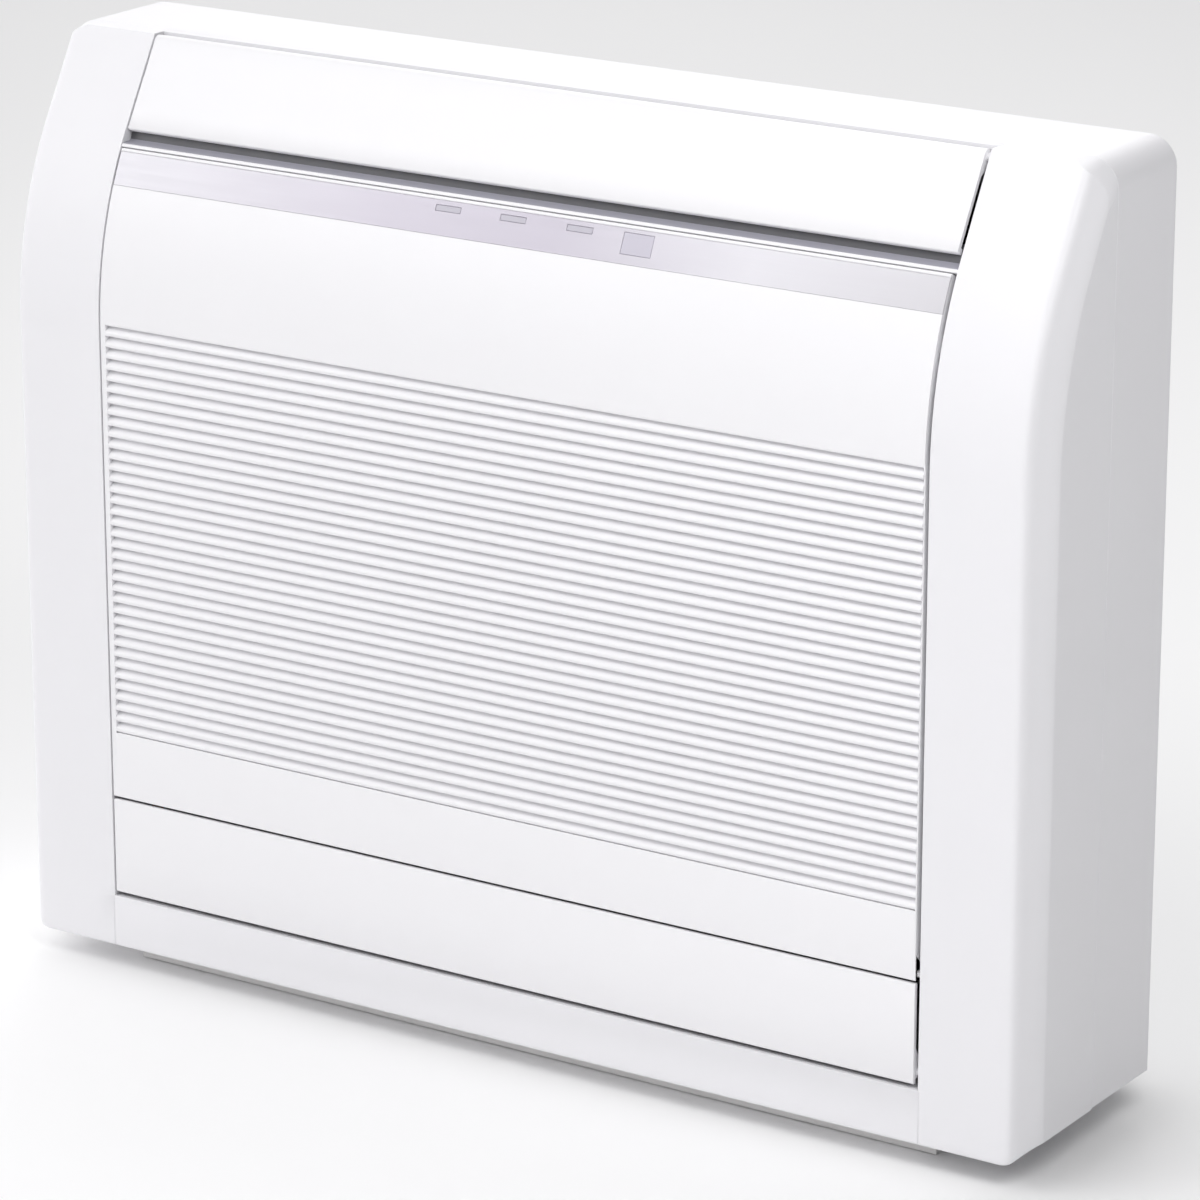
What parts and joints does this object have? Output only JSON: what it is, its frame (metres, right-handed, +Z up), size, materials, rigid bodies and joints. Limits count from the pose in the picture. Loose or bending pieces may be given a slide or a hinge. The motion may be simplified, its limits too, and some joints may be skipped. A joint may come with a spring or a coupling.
{
  "type": "floor standing air conditioner",
  "caption": "Low floor console air conditioner with a ribbed tip-forward intake grille, a curved upper louver, a lower flap, filters, a finned coil, and upper and lower cross-flow fans.",
  "frame": {"origin": "centre of the outline on the floor, midway between the front face and the wall face", "axes": "+X to the right along the width as seen from the front, +Y from the front face towards the wall, +Z up"},
  "size_m": [0.74, 0.2, 0.6],
  "materials": {
    "casing_white": "fine moulded texture, near white",
    "panel_white": "smooth satin near white",
    "base_plastic": "pale beige-white moulding",
    "inner_plastic": "light grey moulding",
    "trim_grey": "dark grey satin",
    "strip_silver": "silver-lavender lacquer",
    "window_tint": "tinted translucent window",
    "filter_grey": "fine woven plastic mesh",
    "dark_plastic": "black moulding",
    "board_green": "circuit board lacquer",
    "rubber": "moulded rubber",
    "zinc_sheet": "galvanised sheet",
    "fin_aluminium": "thin fin stock",
    "copper": "drawn copper tube"
  },
  "bodies": {
    "cabinet": {"front_frame": "casing_white", "rear_casing": "casing_white", "back_chassis": "zinc_sheet", "plinth": "base_plastic", "wall_bracket": "zinc_sheet", "bulkhead_right": "zinc_sheet", "bulkhead_left": "zinc_sheet", "slot_trim": "trim_grey", "display_board": "board_green", "filter_frame": "inner_plastic", "upper_scroll": "inner_plastic", "upper_tongue": "inner_plastic", "lower_scroll": "inner_plastic", "lower_tongue": "inner_plastic", "coil_fins": "fin_aluminium", "coil_end_left": "copper", "coil_end_right": "copper", "gas_pipe": "copper", "liquid_pipe": "copper", "drain_pan": "dark_plastic", "control_box": "zinc_sheet", "control_box_cover": "zinc_sheet", "circuit_board": "board_green", "terminal_block": "dark_plastic", "louver_motor": "zinc_sheet", "flap_motor": "zinc_sheet", "upper_fan_bearing": "rubber", "upper_fan_motor": "zinc_sheet", "lower_fan_bearing": "rubber", "lower_fan_motor": "zinc_sheet"},
    "intake_grille": {"intake_panel": "panel_white", "indicator_strip": "strip_silver", "receiver_window": "window_tint", "lamp_window_1": "window_tint", "lamp_window_2": "window_tint", "lamp_window_3": "window_tint", "panel_stud_left": "inner_plastic", "panel_stud_right": "inner_plastic"},
    "louver": {"upper_louver": "panel_white"},
    "flap": {"lower_flap": "panel_white"},
    "upper_fan_body": {"upper_fan": "dark_plastic", "upper_fan_shaft": "zinc_sheet"},
    "lower_fan_body": {"lower_fan": "dark_plastic", "lower_fan_shaft": "zinc_sheet"},
    "filter_body_left": {"filter_left": "filter_grey"},
    "filter_body_right": {"filter_right": "filter_grey"},
    "button_body": {"manual_button": "dark_plastic"},
    "link_body_left": {"vane_link_left": "inner_plastic"},
    "link_body_right": {"vane_link_right": "inner_plastic"},
    "vane_left_1_body": {"vane_left_1": "inner_plastic"},
    "vane_left_2_body": {"vane_left_2": "inner_plastic"},
    "vane_left_3_body": {"vane_left_3": "inner_plastic"},
    "vane_left_4_body": {"vane_left_4": "inner_plastic"},
    "vane_right_1_body": {"vane_right_1": "inner_plastic"},
    "vane_right_2_body": {"vane_right_2": "inner_plastic"},
    "vane_right_3_body": {"vane_right_3": "inner_plastic"},
    "vane_right_4_body": {"vane_right_4": "inner_plastic"}
  },
  "joints": [
    {"name": "panel_tip", "type": "hinge", "parent": "cabinet", "child": "intake_grille", "pos_m": [0, -0.095, 0.1215], "axis": [1, 0, 0], "range_deg": [0, 25]},
    {"name": "louver_swing", "type": "hinge", "parent": "cabinet", "child": "louver", "pos_m": [0, -0.03349, 0.5945], "axis": [-1, 0, 0], "range_deg": [0, 65]},
    {"name": "flap_swing", "type": "hinge", "parent": "cabinet", "child": "flap", "pos_m": [0, -0.094, 0.06], "axis": [1, 0, 0], "range_deg": [0, 60]},
    {"name": "upper_fan_spin", "type": "hinge", "parent": "cabinet", "child": "upper_fan_body", "pos_m": [0, 0.02, 0.496], "axis": [1, 0, 0], "continuous": true},
    {"name": "lower_fan_spin", "type": "hinge", "parent": "cabinet", "child": "lower_fan_body", "pos_m": [0, 0.02, 0.112], "axis": [1, 0, 0], "continuous": true},
    {"name": "filter_lift_left", "type": "slide", "parent": "cabinet", "child": "filter_body_left", "axis": [0, 0, 1], "range_m": [0, 0.025]},
    {"name": "filter_lift_right", "type": "slide", "parent": "cabinet", "child": "filter_body_right", "axis": [0, 0, 1], "range_m": [0, 0.025]},
    {"name": "button_press", "type": "slide", "parent": "cabinet", "child": "button_body", "axis": [0, 1, 0], "range_m": [0, 0.0015], "stiffness_N_per_m": 400},
    {"name": "turn_vane_left_1", "type": "hinge", "parent": "cabinet", "child": "vane_left_1_body", "pos_m": [-0.052, -0.04027, 0.53727], "axis": [0, 0.7071, 0.7071], "range_deg": [-35, 35]},
    {"name": "turn_vane_left_2", "type": "hinge", "parent": "cabinet", "child": "vane_left_2_body", "pos_m": [-0.108, -0.04027, 0.53727], "axis": [0, 0.7071, 0.7071], "range_deg": [-35, 35]},
    {"name": "turn_vane_left_3", "type": "hinge", "parent": "cabinet", "child": "vane_left_3_body", "pos_m": [-0.164, -0.04027, 0.53727], "axis": [0, 0.7071, 0.7071], "range_deg": [-35, 35]},
    {"name": "turn_vane_left_4", "type": "hinge", "parent": "cabinet", "child": "vane_left_4_body", "pos_m": [-0.22, -0.04027, 0.53727], "axis": [0, 0.7071, 0.7071], "range_deg": [-35, 35]},
    {"name": "link_left", "type": "hinge", "parent": "vane_left_1_body", "child": "link_body_left", "pos_m": [-0.052, -0.02613, 0.52313], "axis": [0, 0.7071, 0.7071], "range_deg": [-35, 35]},
    {"name": "turn_vane_right_1", "type": "hinge", "parent": "cabinet", "child": "vane_right_1_body", "pos_m": [0.052, -0.04027, 0.53727], "axis": [0, 0.7071, 0.7071], "range_deg": [-35, 35]},
    {"name": "turn_vane_right_2", "type": "hinge", "parent": "cabinet", "child": "vane_right_2_body", "pos_m": [0.108, -0.04027, 0.53727], "axis": [0, 0.7071, 0.7071], "range_deg": [-35, 35]},
    {"name": "turn_vane_right_3", "type": "hinge", "parent": "cabinet", "child": "vane_right_3_body", "pos_m": [0.164, -0.04027, 0.53727], "axis": [0, 0.7071, 0.7071], "range_deg": [-35, 35]},
    {"name": "turn_vane_right_4", "type": "hinge", "parent": "cabinet", "child": "vane_right_4_body", "pos_m": [0.22, -0.04027, 0.53727], "axis": [0, 0.7071, 0.7071], "range_deg": [-35, 35]},
    {"name": "link_right", "type": "hinge", "parent": "vane_right_1_body", "child": "link_body_right", "pos_m": [0.052, -0.02613, 0.52313], "axis": [0, 0.7071, 0.7071], "range_deg": [-35, 35]}
  ],
  "couplings": [
    {"joint": "turn_vane_left_2", "follows": "turn_vane_left_1", "ratio": 1},
    {"joint": "turn_vane_left_3", "follows": "turn_vane_left_1", "ratio": 1},
    {"joint": "turn_vane_left_4", "follows": "turn_vane_left_1", "ratio": 1},
    {"joint": "link_left", "follows": "turn_vane_left_1", "ratio": -1},
    {"joint": "turn_vane_right_2", "follows": "turn_vane_right_1", "ratio": 1},
    {"joint": "turn_vane_right_3", "follows": "turn_vane_right_1", "ratio": 1},
    {"joint": "turn_vane_right_4", "follows": "turn_vane_right_1", "ratio": 1},
    {"joint": "link_right", "follows": "turn_vane_right_1", "ratio": -1}
  ]
}
